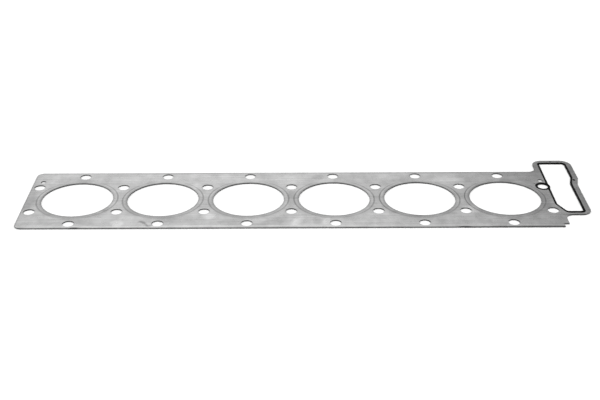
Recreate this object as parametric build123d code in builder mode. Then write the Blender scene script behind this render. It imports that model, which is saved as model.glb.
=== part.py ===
from build123d import *
import os

os.makedirs("parts", exist_ok=True)

# Cylinder head gasket of an in-line six-cylinder engine. A steel sheet is punched for the
# cylinders, head bolts and dowels and has a sealing bead pressed round each cylinder. At the
# gear train end a tab carries a tall cut-out, lined with a moulded rubber seal.
#
# Millimetres. X runs along the crankshaft towards the gear train end, Y across the engine and
# Z up towards the cylinder head. The origin is midway between the end bolt columns, on the
# crankshaft line and on the underside of the sheet. "Near" and "far" are the sides of the
# cut-out towards and away from the cylinders.

# Engine layout
bore_count = 6
bore_pitch = 155.0
outer_bolt_row = 91.4  # crankshaft line to the bolts along the long edges
inner_bolt_row = 47.5  # crankshaft line to the bolts between the cylinders
dowel_row = 70.0  # crankshaft line to both dowels
dowel_inset = 2.0  # plain end dowel, inwards from the first bolt column

# Punched openings, as diameters
cylinder_opening = 129.0
bolt_hole = 20.4
dowel_hole = 9.4
pin_hole = 2.2  # holds the sheet on the pins of the mould that forms the seal

# Steel sheet
sheet_thickness = 1.6
plain_end_margin = 15.0  # beyond the first bolt column
side_margin = 16.1  # beyond the outer bolt rows
gear_end_margin = 17.6  # beyond the last bolt column, below the tab
end_corner_radius = 13.0
notch_length = 9.1  # square notch that keys the gasket at the gear train end
notch_width = 10.5

# Sealing bead pressed into both faces round each cylinder
bead_land = 8.0  # edge of the opening to the middle of the bead
bead_width = 2.4  # at the face
bead_floor = 0.9  # flat bottom
bead_depth = 0.12

# Cut-out for the gear train, as punched in the steel
window_margin = 8.1  # last bolt column to the near side
window_length = 55.0
window_top = 146.7  # from the crankshaft line
window_foot = -57.5  # from the crankshaft line
step_depth = 6.5  # how far the far side steps in, lower down
step_top = 83.0
step_foot = 57.0
bevel_length = 14.4  # slanted corner that clears the last bolt
bevel_width = 33.0
window_near_radius = 6.0
window_far_radius = 9.0
window_foot_radius = 8.0
bevel_top_radius = 12.0
bevel_foot_radius = 10.0
step_radius = 7.0

# Steel rim left round the cut-out
rim_side = 9.5
rim_top = 9.3
rim_foot = 6.5
rim_step_drop = 3.5  # the step of the rim lies this much lower than that of the cut-out
tab_top_radius = 20.0
tab_foot_radius = 18.0
tab_root_radius = 14.0

# Oval passage with a rubber ring, beside the cut-out
passage_drop = 1.2  # its centre, below the inner bolt row
passage_length = 21.0
passage_width = 18.6
ring_width = 4.2
cusp_radius = 1.8  # steel points between the ring and the cut-out, rounded off
ring_blend_radius = 4.0  # rubber, where the ring swells into the cut-out

# Rubber seal
seal_lip = 3.5  # width of the rubber along the cut-out
seal_sill = 6.0  # the same at its foot
seal_proud = 0.5  # height above each face of the sheet
seal_edge_bevel = 0.35

# Pin holes: in the top rim, beside the step and beside the ring
top_pin_shift = 27.3  # from the near side of the cut-out
step_pin_shift = 0.3  # beyond the far side of the cut-out
step_pin_rise = 15.0  # above the foot of the step
ring_pin_x = 0.1  # beyond the outside of the ring
ring_pin_rise = 10.7  # above the centre of the passage

# Places that follow from the sizes above
first_column = -bore_count * bore_pitch / 2
last_column = -first_column
half_width = outer_bolt_row + side_margin
sheet_end = first_column - plain_end_margin
neck_end = last_column + gear_end_margin
window_near = last_column + window_margin
window_far = window_near + window_length
tab_near = window_near - rim_side
tab_far = window_far + rim_side
tab_top = window_top + rim_top
tab_foot = window_foot - rim_foot
passage_center = (last_column, inner_bolt_row - passage_drop)
ring_outside = passage_width / 2 + ring_width
bead_radius = cylinder_opening / 2 + bead_land
top_pin = (window_near + top_pin_shift, window_top + rim_top / 2)
step_pin = (window_far + step_pin_shift, step_foot + step_pin_rise)
ring_pin = (last_column - ring_outside - ring_pin_x, passage_center[1] + ring_pin_rise)

# Corners of each outline, anticlockwise, with the radius that rounds each one
sheet_corners = [
    ((sheet_end, -half_width), end_corner_radius),
    ((neck_end - notch_length, -half_width), 0),
    ((neck_end - notch_length, notch_width - half_width), 0),
    ((neck_end, notch_width - half_width), 0),
    ((neck_end, tab_foot), tab_root_radius),
    ((tab_far - step_depth, tab_foot), tab_foot_radius),
    ((tab_far - step_depth, step_foot - rim_step_drop), step_radius),
    ((tab_far, step_top - rim_step_drop), step_radius),
    ((tab_far, tab_top), tab_top_radius),
    ((tab_near, tab_top), tab_top_radius),
    ((tab_near, half_width), tab_root_radius),
    ((sheet_end, half_width), end_corner_radius),
]


def window_corners(foot_rise):
    """Corners of the window, with its foot raised along the bevel and the far side."""
    bevel_left = bevel_length * (1 - foot_rise / bevel_width)
    return [
        ((window_near + bevel_left, window_foot + foot_rise), bevel_foot_radius),
        ((window_far - step_depth, window_foot + foot_rise), window_foot_radius),
        ((window_far - step_depth, step_foot), step_radius),
        ((window_far, step_top), step_radius),
        ((window_far, window_top), window_far_radius),
        ((window_near, window_top), window_near_radius),
        ((window_near, window_foot + bevel_width), bevel_top_radius),
    ]


def rounded_outline(corners):
    """Draws a closed outline through the corners and rounds each by its own radius."""
    points = [point for point, radius in corners]
    radii = [radius for point, radius in corners]
    FilletPolyline(*points, radius=radii, close=True)


# Outside of the rubber ring round the passage
with BuildSketch() as ring:
    with Locations(passage_center):
        SlotOverall(passage_length + 2 * ring_width, 2 * ring_outside, rotation=90)

# Cut-out in the steel: the window joined to the seat of the ring
with BuildSketch() as cutout:
    with BuildLine():
        rounded_outline(window_corners(0))
    make_face()
    add(ring.sketch)
    cusps = cutout.vertices().sort_by_distance((window_near, passage_center[1]))[:2]
    fillet(cusps, cusp_radius)

# Clear opening that the rubber leaves in the window, with a wider sill at its foot
with BuildSketch() as clear_opening:
    with BuildLine():
        rounded_outline(window_corners(seal_sill - seal_lip))
    make_face()
    offset(amount=-seal_lip)
    add(ring.sketch, mode=Mode.SUBTRACT)
    blends = clear_opening.vertices().sort_by_distance((window_near, passage_center[1]))[:2]
    fillet(blends, ring_blend_radius)

# Grooves that one bead leaves in the two faces, round the origin
with BuildPart() as bead:
    with BuildSketch(Plane.XZ):
        with BuildLine():
            Polyline(
                (bead_radius - bead_width / 2, sheet_thickness),
                (bead_radius - bead_floor / 2, sheet_thickness - bead_depth),
                (bead_radius + bead_floor / 2, sheet_thickness - bead_depth),
                (bead_radius + bead_width / 2, sheet_thickness),
                close=True,
            )
        make_face()
    revolve(axis=Axis.Z)
    mirror(about=Plane.XY.offset(sheet_thickness / 2))

with BuildPart() as gasket_sheet:
    with BuildSketch():
        with BuildLine():
            rounded_outline(sheet_corners)
        make_face()
        with GridLocations(bore_pitch, 0, bore_count, 1):
            Circle(cylinder_opening / 2, mode=Mode.SUBTRACT)
        with GridLocations(bore_pitch, 2 * outer_bolt_row, bore_count, 2):
            Circle(bolt_hole / 2, mode=Mode.SUBTRACT)
        with Locations((0, -inner_bolt_row)):
            with GridLocations(bore_pitch, 0, bore_count + 1, 1):
                Circle(bolt_hole / 2, mode=Mode.SUBTRACT)
        # The oval passage takes the last place of this row
        with Locations((-bore_pitch / 2, inner_bolt_row)):
            with GridLocations(bore_pitch, 0, bore_count, 1):
                Circle(bolt_hole / 2, mode=Mode.SUBTRACT)
        with Locations((first_column + dowel_inset, dowel_row), (last_column, dowel_row)):
            Circle(dowel_hole / 2, mode=Mode.SUBTRACT)
        with Locations(top_pin, step_pin, ring_pin):
            Circle(pin_hole / 2, mode=Mode.SUBTRACT)
        add(cutout.sketch, mode=Mode.SUBTRACT)
    extrude(amount=sheet_thickness)
    with GridLocations(bore_pitch, 0, bore_count, 1):
        add(bead.part, mode=Mode.SUBTRACT)

with BuildPart() as window_seal:
    with BuildSketch(Plane.XY.offset(-seal_proud)):
        add(cutout.sketch)
        add(clear_opening.sketch, mode=Mode.SUBTRACT)
        with Locations(passage_center):
            SlotOverall(passage_length, passage_width, rotation=90, mode=Mode.SUBTRACT)
    extrude(amount=sheet_thickness + 2 * seal_proud)
    chamfer(window_seal.faces().filter_by(Axis.Z).edges(), seal_edge_bevel)

gasket_sheet.part.label = "gasket_sheet"
export_step(gasket_sheet.part, "parts/gasket_sheet.step")
window_seal.part.label = "window_seal"
export_step(window_seal.part, "parts/window_seal.step")
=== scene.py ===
import math

import bpy
from mathutils import Matrix, Vector


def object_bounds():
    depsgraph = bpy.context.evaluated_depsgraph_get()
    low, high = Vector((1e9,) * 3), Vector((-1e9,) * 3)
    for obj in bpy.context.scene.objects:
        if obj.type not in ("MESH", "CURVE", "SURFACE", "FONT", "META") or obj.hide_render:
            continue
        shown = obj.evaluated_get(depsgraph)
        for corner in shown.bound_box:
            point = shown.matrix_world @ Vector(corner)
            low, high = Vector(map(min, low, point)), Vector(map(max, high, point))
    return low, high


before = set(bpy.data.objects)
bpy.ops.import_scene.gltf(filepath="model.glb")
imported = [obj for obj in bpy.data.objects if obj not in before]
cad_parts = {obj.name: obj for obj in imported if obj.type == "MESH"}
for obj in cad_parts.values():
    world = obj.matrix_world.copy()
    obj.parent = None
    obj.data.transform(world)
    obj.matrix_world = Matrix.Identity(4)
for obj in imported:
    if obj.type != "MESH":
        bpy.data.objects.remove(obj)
cad_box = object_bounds()
scene = bpy.context.scene


# --- Gasket sheet ---------------------------------------------------------------------------
# One sheet of cold rolled spring steel, punched in a press, with a bead pressed into both
# faces round each cylinder. The mill leaves faint streaks along its length, and a thin
# coating against sticking dries on it in cloudy stains.
STEEL_GREY = "#AFAFAF"
NEAR_EDGE = cad_box[0].y
FAR_EDGE = -NEAR_EDGE
PLAIN_END = cad_box[0].x
CYLINDER_PITCH = 0.155
END_BOLTS = 0.465  # from the middle of the sheet to its end bolt columns
CYLINDER_RIM = 0.066  # from the middle of a cylinder to just outside its edge
BOLT_REACH = 0.108  # from the middle of a cylinder to just outside the holes round it
CLOUD_LENGTH = 0.030
CLOUD_WIDTH = 0.045
STREAK_LENGTH = 0.120
STREAK_WIDTH = 0.005  # coarser than the real roll marks, which are too fine to show
MOTTLE_SIZE = 0.014
STAIN_EDGE = 0.011  # size of the bays and tongues in the outline of a stain
STAIN_WANDER = 0.006  # how far they reach in and out
STAIN_FADE = (0.5, 1.35)  # shares of its size at which a stain starts to fade and is gone
MARK_FADE = (0.6, 1.2)  # the same for a mark with a clean outline
NOISE_LOW = 0.3  # nearly all of a noise lies between these two values
NOISE_HIGH = 0.7
RING_START = 0.060  # the shading round a cylinder lies between these two radii
RING_END = 0.090
NEARWARD = (-0.30, -1.00, 0)  # towards the near edge, and a little to the plain end
FARWARD = (-0.50, 0.85, 0)  # towards the far edge and the plain end
EDGE_ROUNDING = 0.0020  # wider than the real rolled edge, which is too fine to show
EDGE_TILT = (0.75, 0.99)  # how upright the rounded surface is in mid edge and on the flat
# painted shade in the middle of a rolled edge
EDGE_SHADE = 0.38
WALL_FOOT = 0.0001  # the painted shade on a wall changes between these two heights
WALL_HEAD = 0.0014
SMALL_WALL = (0.36, 0.06)  # painted shade at the foot and the head of a small hole's wall
ROOMY_WALL = (1.00, 0.38)  # the same for the walls of the cylinders and of the outline
STEEL_ROUGHNESS = (0.24, 0.32)
OUTLINE_SKIN = 0.0005  # a wall that lies within this of the outline belongs to it


def linear(code):
    """Turns an sRGB hex value into the linear colour that a shader takes."""
    parts = [int(code[i : i + 2], 16) / 255 for i in (1, 3, 5)]
    return [c / 12.92 if c <= 0.04045 else ((c + 0.055) / 1.055) ** 2.4 for c in parts] + [1.0]


def add(tree, kind, sockets=None, **settings):
    """Adds a node with its settings, and fills or links its input sockets."""
    node = tree.nodes.new("ShaderNode" + kind)
    for name, value in settings.items():
        setattr(node, name, value)
    for name, value in (sockets or {}).items():
        if isinstance(value, bpy.types.NodeSocket):
            tree.links.new(value, node.inputs[name])
        else:
            node.inputs[name].default_value = value
    return node


def start_material(name):
    """Starts a new material with an empty node tree."""
    material = bpy.data.materials.new(name)
    material.use_nodes = True
    material.node_tree.nodes.clear()
    return material, material.node_tree


def dress(piece, material):
    """Gives a CAD node its finish."""
    piece.material_slots[0].link = "OBJECT"
    piece.material_slots[0].material = material


def oval_shade(tree, place, oval, fade):
    """Shades one oval patch, which fades out between two shares of its size."""
    x, y, length, width, turn, strength = oval
    centred = add(
        tree, "Mapping",
        {
            "Vector": place, "Location": (x, y, 0), "Rotation": (0, 0, math.radians(turn)),
            "Scale": (length, width, 1),
        },
        vector_type="TEXTURE",
    )
    reach = add(tree, "VectorMath", {0: centred.outputs[0]}, operation="LENGTH")
    oval_edge = add(
        tree, "MapRange",
        {
            "Value": reach.outputs["Value"], "From Min": fade[0], "From Max": fade[1],
            "To Min": strength, "To Max": 1.0,
        },
        interpolation_type="SMOOTHSTEP",
    )
    return oval_edge.outputs[0]


def ring_shade(tree, distance, steps, share):
    """Paints shade in rings round a cylinder, by steps of radius and shade, as much as its share says."""
    ring = add(tree, "MapRange", {"Value": distance, "From Min": RING_START, "From Max": RING_END})
    ramp = add(tree, "ValToRGB", {"Fac": ring.outputs[0]})
    elements = ramp.color_ramp.elements
    elements.remove(elements[0])
    elements[0].position = 1.0
    for radius, value in steps:
        elements.new((radius - RING_START) / (RING_END - RING_START)).color = (value, value, value, 1.0)
    mixed = add(tree, "Mix", {"Factor": share, "A": 1.0, "B": ramp.outputs["Color"]}, data_type="FLOAT")
    return mixed.outputs["Result"]


def upright(tree, normal):
    """How far a surface faces straight up or down, from 0 to 1."""
    parts = add(tree, "SeparateXYZ", {"Vector": normal})
    return add(tree, "Math", {0: parts.outputs["Z"]}, operation="ABSOLUTE").outputs[0]


# Bare rolled steel gives the eye a satin grey mirror, sharp enough to darken where it mirrors something
# dark. All that marks it, its stains as well as painted shade and painted highlights, goes into a list of
# shades, multiplied at the end.
steel, tree = start_material("cold_rolled_spring_steel")
place = add(tree, "TexCoord").outputs["Object"]
spot = add(tree, "SeparateXYZ", {"Vector": place}).outputs
shades = []

# Clouds where the coating dried thicker, fine streaks that the rolls leave along the strip, and
# mottling within the clouds: length, width, detail and roughness of the noise, and strength
patterns = (
    (CLOUD_LENGTH, CLOUD_WIDTH, 5.0, 0.68, 0.16),
    (STREAK_LENGTH, STREAK_WIDTH, 2.0, 0.50, 0.10),
    (MOTTLE_SIZE, MOTTLE_SIZE, 2.0, 0.50, 0.04),
)
for length, width, detail, roughness, strength in patterns:
    stretched = add(tree, "Mapping", {"Vector": place, "Scale": (1 / length, 1 / width, 1)})
    noise = add(
        tree, "TexNoise",
        {"Vector": stretched.outputs[0], "Scale": 1.0, "Detail": detail, "Roughness": roughness},
    )
    waver = add(
        tree, "MapRange",
        {
            "Value": noise.outputs["Fac"], "From Min": NOISE_LOW, "From Max": NOISE_HIGH,
            "To Min": 1 - strength, "To Max": 1 + strength,
        },
    )
    shades.append(waver.outputs[0])
mottling = noise.outputs["Fac"]  # the last of the three, which changes the gloss too

# Stains: runs and smears of the coating with ragged outlines. Middle and half size in metres,
# turn in degrees, and how much lighter or darker the steel is there.
stains = (
    (-0.475, 0.000, 0.012, 0.060, 0, 0.86),
    (-0.478, 0.000, 0.018, 0.140, 0, 0.90),
    (-0.420, -0.084, 0.025, 0.010, 0, 0.88),
    (-0.430, 0.064, 0.020, 0.012, 0, 0.90),
    (-0.385, 0.076, 0.014, 0.012, 0, 0.82),
    (-0.362, -0.088, 0.030, 0.008, -15, 0.84),
    (-0.326, -0.063, 0.008, 0.010, 0, 1.12),
    (-0.303, -0.090, 0.011, 0.012, 20, 1.25),
    (-0.290, -0.036, 0.014, 0.014, 0, 1.12),
    (-0.331, -0.040, 0.008, 0.010, 0, 0.80),
    (-0.259, -0.086, 0.007, 0.005, -30, 0.62),
    (-0.254, -0.094, 0.012, 0.003, -50, 0.74),
    (-0.248, -0.099, 0.007, 0.004, 0, 0.70),
    (-0.249, -0.091, 0.006, 0.004, -45, 1.14),
    (-0.283, 0.080, 0.022, 0.022, 30, 1.12),
    (-0.213, -0.078, 0.022, 0.013, 0, 0.84),
    (-0.185, 0.094, 0.035, 0.010, 0, 1.10),
    (-0.145, -0.066, 0.012, 0.010, 0, 1.20),
    (-0.112, -0.086, 0.018, 0.008, 0, 0.82),
    (-0.115, 0.080, 0.028, 0.018, 0, 1.14),
    (-0.174, 0.050, 0.012, 0.012, 0, 1.20),
    (-0.085, -0.088, 0.014, 0.008, 0, 0.90),
    (-0.085, -0.098, 0.045, 0.006, 0, 0.88),
    (-0.056, -0.076, 0.012, 0.010, -40, 1.12),
    (-0.030, -0.084, 0.024, 0.014, 30, 0.84),
    (0.010, -0.084, 0.009, 0.020, -25, 1.25),
    (0.044, -0.084, 0.008, 0.014, 0, 0.88),
    (0.062, -0.086, 0.007, 0.014, -15, 1.22),
    (-0.005, 0.080, 0.030, 0.022, 0, 1.14),
    (0.050, 0.086, 0.010, 0.013, 20, 0.78),
    (0.000, 0.000, 0.009, 0.036, 0, 0.80),
    (0.106, -0.074, 0.016, 0.010, 0, 0.90),
    (0.115, 0.082, 0.040, 0.020, 0, 0.91),
    (0.155, 0.020, 0.010, 0.036, 0, 0.87),
    (0.170, 0.060, 0.010, 0.008, 0, 0.90),
    (0.182, 0.086, 0.018, 0.012, 0, 1.14),
    (0.207, -0.078, 0.016, 0.010, 0, 0.88),
    (0.222, -0.064, 0.010, 0.008, 0, 0.82),
    (0.268, -0.050, 0.014, 0.016, 0, 0.83),
    (0.262, -0.080, 0.010, 0.012, 0, 0.88),
    (0.292, 0.078, 0.022, 0.018, 0, 1.16),
    (0.300, -0.090, 0.014, 0.010, 0, 0.94),
    (0.330, 0.074, 0.007, 0.012, 0, 0.84),
    (0.322, -0.040, 0.014, 0.014, 0, 1.24),
    (0.345, -0.072, 0.012, 0.008, 0, 1.08),
    (0.345, -0.086, 0.005, 0.008, 0, 0.90),
    (0.415, 0.082, 0.010, 0.010, 0, 1.10),
    (0.400, 0.068, 0.014, 0.010, 0, 0.84),
    (0.390, -0.080, 0.014, 0.008, 0, 0.90),
    (0.430, 0.094, 0.050, 0.024, 0, 0.88),
    (0.456, -0.022, 0.010, 0.030, 0, 0.84),
    (0.440, 0.066, 0.010, 0.008, 0, 0.86),
    (0.210, 0.000, 0.050, 0.120, 0, 0.95),
    (0.535, 0.020, 0.012, 0.130, 0, 0.78),
)
ragged = add(tree, "TexNoise", {"Vector": place, "Scale": 1 / STAIN_EDGE, "Detail": 2.0})
wander = add(
    tree, "MapRange",
    {
        "Vector": ragged.outputs["Color"], "To Min": (-STAIN_WANDER, -STAIN_WANDER, 0),
        "To Max": (STAIN_WANDER, STAIN_WANDER, 0),
    },
    data_type="FLOAT_VECTOR",
)
wavy = add(tree, "VectorMath", {0: place, 1: wander.outputs["Vector"]}, operation="ADD")
for stain in stains:
    shades.append(oval_shade(tree, wavy.outputs["Vector"], stain, STAIN_FADE))

# Painted shade in lines along the outline, where the rolled-over edge turns from the light: the place
# across or along the sheet from which a line is solid, the place where it has faded out, and its shade.
# The tab, beyond the far edge, is painted as dark throughout.
edge_lines = (
    ("Y", FAR_EDGE - 0.0030, FAR_EDGE - 0.0050, 0.78),
    ("Y", NEAR_EDGE + 0.0011, NEAR_EDGE + 0.0029, 0.74),
    ("X", PLAIN_END + 0.0010, PLAIN_END + 0.0035, 0.78),
)
for axis, solid, gone, strength in edge_lines:
    line = add(
        tree, "MapRange",
        {"Value": spot[axis], "From Min": solid, "From Max": gone, "To Min": strength, "To Max": 1.0},
    )
    shades.append(line.outputs[0])

# Marks with clean outlines, listed as the stains are. Most are painted highlight or painted shade along
# edges.
marks = (
    (-0.010, -0.1010, 0.600, 0.0030, 0, 1.14),  # painted highlight along the near edge, where its rolled edge catches the light
    (-0.110, -0.1010, 0.200, 0.0030, 0, 1.10),  # brightest stretch of that painted highlight
    (0.400, -0.1075, 0.120, 0.0030, 0, 0.66),  # darker end of the near edge, towards the tab
    (0.478, -0.0970, 0.008, 0.0025, 0, 0.60),  # painted shade on the edge of the notch
    (0.510, -0.0640, 0.034, 0.0022, 0, 0.50),  # painted shade along the foot of the tab
    (-0.375, -0.1075, 0.009, 0.0035, 0, 0.36),  # dark spot on the near edge
    (0.300, -0.1075, 0.013, 0.0035, 0, 0.28),  # longer dark spot on the near edge
    (0.5284, 0.0720, 0.0026, 0.0045, 0, 0.05),  # painted shade round the pin hole in the tab, which widens its dark opening
)
for mark in marks:
    shades.append(oval_shade(tree, place, mark, MARK_FADE))

# Place in plan from the middle of the nearest cylinder. The clamp stops just short of the last
# bolt column, where a seventh cylinder would start.
along = add(tree, "Clamp", {"Value": spot["X"], "Min": -END_BOLTS, "Max": END_BOLTS - 0.0001})
start = add(tree, "Math", {0: along.outputs[0], 1: CYLINDER_PITCH}, operation="SNAP")
middle = add(tree, "Math", {0: start.outputs[0], 1: CYLINDER_PITCH / 2}, operation="ADD")
offset = add(tree, "Math", {0: spot["X"], 1: middle.outputs[0]}, operation="SUBTRACT")
arm = add(tree, "CombineXYZ", {"X": offset.outputs[0], "Y": spot["Y"]}).outputs[0]
distance = add(tree, "VectorMath", {0: arm}, operation="LENGTH").outputs["Value"]
heading = add(tree, "VectorMath", {0: arm}, operation="NORMALIZE").outputs["Vector"]
lengthways = add(tree, "SeparateXYZ", {"Vector": heading}).outputs["X"]
sideways = add(tree, "Math", {0: lengthways}, operation="ABSOLUTE")
near_side = add(tree, "VectorMath", {0: heading, 1: NEARWARD}, operation="DOT_PRODUCT")
far_side = add(tree, "VectorMath", {0: heading, 1: FARWARD}, operation="DOT_PRODUCT")
nearness = add(tree, "MapRange", {"Value": near_side.outputs["Value"]})
farness = add(tree, "MapRange", {"Value": far_side.outputs["Value"]})

# Rings of painted shade: the rim of a cylinder is rolled over and painted darker all round, and darker
# still on the far side. The groove of the bead is painted dark where it runs across the sheet and its
# sides turn from the light, and the land inside the bead is painted darker on the near side.
rings = (
    (1.0, ((0.0645, 0.72), (0.0660, 0.80), (0.0680, 0.95), (0.0700, 1.00))),
    (
        sideways.outputs[0],
        ((0.0709, 1.00), (0.0718, 0.60), (0.0736, 0.60), (0.0748, 1.00), (0.0770, 0.94), (0.0850, 1.00)),
    ),
    (nearness.outputs[0], ((0.0650, 0.70), (0.0700, 0.70), (0.0720, 0.76), (0.0780, 1.00))),
    (farness.outputs[0], ((0.0645, 0.58), (0.0665, 0.70), (0.0700, 1.00))),
)
for share, steps in rings:
    shades.append(ring_shade(tree, distance, steps, share))

# Painted shade along the edges, which the punch rolls over: the steel is darkened where a rounded edge
# would turn away from the light
rounded = add(tree, "Bevel", {"Radius": EDGE_ROUNDING}, samples=8).outputs["Normal"]
rim = add(
    tree, "MapRange",
    {
        "Value": upright(tree, rounded), "From Min": EDGE_TILT[0], "From Max": EDGE_TILT[1],
        "To Min": EDGE_SHADE, "To Max": 1.0,
    },
)
shades.append(rim.outputs[0])

# Painted shade on the sheared walls, dark at the head and paler at the foot. The small holes let less
# light onto theirs than the cylinders and the outline do.
roomy = add(tree, "Math", {0: distance, 1: CYLINDER_RIM}, operation="LESS_THAN").outputs[0]
beyond = add(tree, "Math", {0: spot["X"]}, operation="ABSOLUTE").outputs[0]
aside = add(tree, "Math", {0: spot["Y"]}, operation="ABSOLUTE").outputs[0]
limits = (
    (distance, BOLT_REACH),
    (beyond, -PLAIN_END - OUTLINE_SKIN),
    (aside, FAR_EDGE - OUTLINE_SKIN),
)
for reach, limit in limits:
    outside = add(tree, "Math", {0: reach, 1: limit}, operation="GREATER_THAN").outputs[0]
    roomy = add(tree, "Math", {0: roomy, 1: outside}, operation="MAXIMUM").outputs[0]
foot, head = [
    add(tree, "MapRange", {"Value": roomy, "To Min": small, "To Max": large}).outputs[0]
    for small, large in zip(SMALL_WALL, ROOMY_WALL)
]
painted_wall_shade = add(
    tree, "MapRange",
    {"Value": spot["Z"], "From Min": WALL_FOOT, "From Max": WALL_HEAD, "To Min": foot, "To Max": head},
)
face = upright(tree, add(tree, "NewGeometry").outputs["True Normal"])
wall = add(
    tree, "MapRange",
    {"Value": face, "From Min": 0.4, "From Max": 0.6, "To Min": painted_wall_shade.outputs[0], "To Max": 1.0},
)
shades.append(wall.outputs[0])

shade = shades[0]
for other in shades[1:]:
    shade = add(tree, "Math", {0: shade, 1: other}, operation="MULTIPLY").outputs[0]
tone = add(tree, "VectorMath", {0: linear(STEEL_GREY)[:3], "Scale": shade}, operation="SCALE")
dullness = add(
    tree, "MapRange",
    {"Value": mottling, "To Min": STEEL_ROUGHNESS[0], "To Max": STEEL_ROUGHNESS[1]},
)
shader = add(
    tree, "BsdfPrincipled",
    {"Base Color": tone.outputs[0], "Metallic": 1.0, "Roughness": dullness.outputs[0]},
)
add(tree, "OutputMaterial", {"Surface": shader.outputs["BSDF"]})
dress(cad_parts["gasket_sheet"], steel)


# --- Window seal ----------------------------------------------------------------------------
# One black ring of fluorocarbon rubber, moulded onto the punched edge of the cut-out and round
# the oil passage. It stands a little proud of both faces, so that the engine squeezes it.
RUBBER_BLACK = "#080808"
BLOOM_SIZE = 0.004
BLOOM_SHADE = (0.3, 1.0)
RUBBER_ROUGHNESS = (0.5, 0.7)
RUBBER_GLOSS = 0.05  # a tenth of the usual reflection, as the mould is finely blasted

# Moulded rubber gives the eye a deep matt black with next to no gloss, a little greyer in
# patches where wax blooms to the surface
rubber, tree = start_material("moulded_fluorocarbon_rubber")
place = add(tree, "TexCoord").outputs["Object"]
bloom = add(tree, "TexNoise", {"Vector": place, "Scale": 1 / BLOOM_SIZE, "Detail": 3.0}).outputs["Fac"]
patch = add(
    tree, "MapRange",
    {
        "Value": bloom, "From Min": NOISE_LOW, "From Max": NOISE_HIGH,
        "To Min": BLOOM_SHADE[0], "To Max": BLOOM_SHADE[1],
    },
)
tone = add(tree, "VectorMath", {0: linear(RUBBER_BLACK)[:3], "Scale": patch.outputs[0]}, operation="SCALE")
dullness = add(
    tree, "MapRange",
    {"Value": bloom, "To Min": RUBBER_ROUGHNESS[0], "To Max": RUBBER_ROUGHNESS[1]},
)
shader = add(
    tree, "BsdfPrincipled",
    {"Base Color": tone.outputs[0], "Roughness": dullness.outputs[0], "Specular IOR Level": RUBBER_GLOSS},
)
add(tree, "OutputMaterial", {"Surface": shader.outputs["BSDF"]})
dress(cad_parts["window_seal"], rubber)


# --- Floor and light ------------------------------------------------------------------------
# A matt white table in an evenly lit white light tent. The tent is open behind and to the right,
# and the sheet mirrors that dark opening, so it darkens towards the tab.
PAPER_WHITE = "#F2F2F2"
TENT_WHITE = "#FFFFFF"
FLOOR_SIDE = 30.0
SIDE_LIGHT = 1.2
TOP_LIGHT = 1.5
TOP_START = math.radians(30)  # how far up the brighter top starts
OPENING_LIGHT = 0.12  # share of the tent's light that still comes in by the opening
OPENING_TURN = math.radians(34)  # to the right of straight behind
OPENING_RISE = math.radians(8)
OPENING_HALF = math.radians(27)  # half of its width
OPENING_FADE = math.radians(4)  # half of its soft edge

bpy.ops.mesh.primitive_plane_add(size=FLOOR_SIDE, location=(0, 0, cad_box[0].z))
floor = bpy.context.object
floor.name = "floor"

# Matt paper gives the eye an even white without a reflection of the gasket
paper, tree = start_material("matt_white_paper")
shader = add(
    tree, "BsdfPrincipled",
    {"Base Color": linear(PAPER_WHITE), "Roughness": 0.9, "Specular IOR Level": 0.1},
)
add(tree, "OutputMaterial", {"Surface": shader.outputs["BSDF"]})
floor.data.materials.append(paper)

world = bpy.data.worlds.new("studio")
world.use_nodes = True
scene.world = world
tree = world.node_tree
direction = add(tree, "TexCoord").outputs["Generated"]
height = add(tree, "SeparateXYZ", {"Vector": direction}).outputs["Z"]
tent = add(
    tree, "MapRange",
    {
        "Value": height, "From Min": math.sin(TOP_START), "From Max": 1.0,
        "To Min": SIDE_LIGHT, "To Max": TOP_LIGHT,
    },
    interpolation_type="SMOOTHSTEP",
)
opening_middle = (
    math.cos(OPENING_RISE) * math.sin(OPENING_TURN),
    math.cos(OPENING_RISE) * math.cos(OPENING_TURN),
    math.sin(OPENING_RISE),
)
facing = add(tree, "VectorMath", {0: direction, 1: opening_middle}, operation="DOT_PRODUCT")
opening = add(
    tree, "MapRange",
    {
        "Value": facing.outputs["Value"], "From Min": math.cos(OPENING_HALF + OPENING_FADE),
        "From Max": math.cos(OPENING_HALF - OPENING_FADE), "To Min": 1.0, "To Max": OPENING_LIGHT,
    },
    interpolation_type="SMOOTHSTEP",
)
light = add(tree, "Math", {0: tent.outputs["Result"], 1: opening.outputs["Result"]}, operation="MULTIPLY")
backdrop = tree.nodes["Background"]
backdrop.inputs["Color"].default_value = linear(TENT_WHITE)
tree.links.new(light.outputs[0], backdrop.inputs["Strength"])

scene.view_settings.view_transform = "Standard"


# --- Camera ---------------------------------------------------------------------------------
# The gasket is seen from its near side, a little from above, through a long lens that takes
# in its whole length.
IMAGE_WIDTH = 600
FOCAL_PIXELS = 1082  # focal length, in pixels of an image of that width
CAMERA_PLACE = Vector((0.0091, -1.7399, 0.9038))
CAMERA_YAW = 0.0037  # radians, as are the next two
CAMERA_PITCH = 0.4796
CAMERA_ROLL = 0.0022

lens = bpy.data.cameras.new("camera")
lens.lens = FOCAL_PIXELS / IMAGE_WIDTH * lens.sensor_width
camera = bpy.data.objects.new("camera", lens)
scene.collection.objects.link(camera)
camera.matrix_world = (
    Matrix.Translation(CAMERA_PLACE)
    @ Matrix.Rotation(-CAMERA_YAW, 4, "Z")
    @ Matrix.Rotation(math.pi / 2 - CAMERA_PITCH, 4, "X")
    @ Matrix.Rotation(-CAMERA_ROLL, 4, "Z")
)
scene.camera = camera
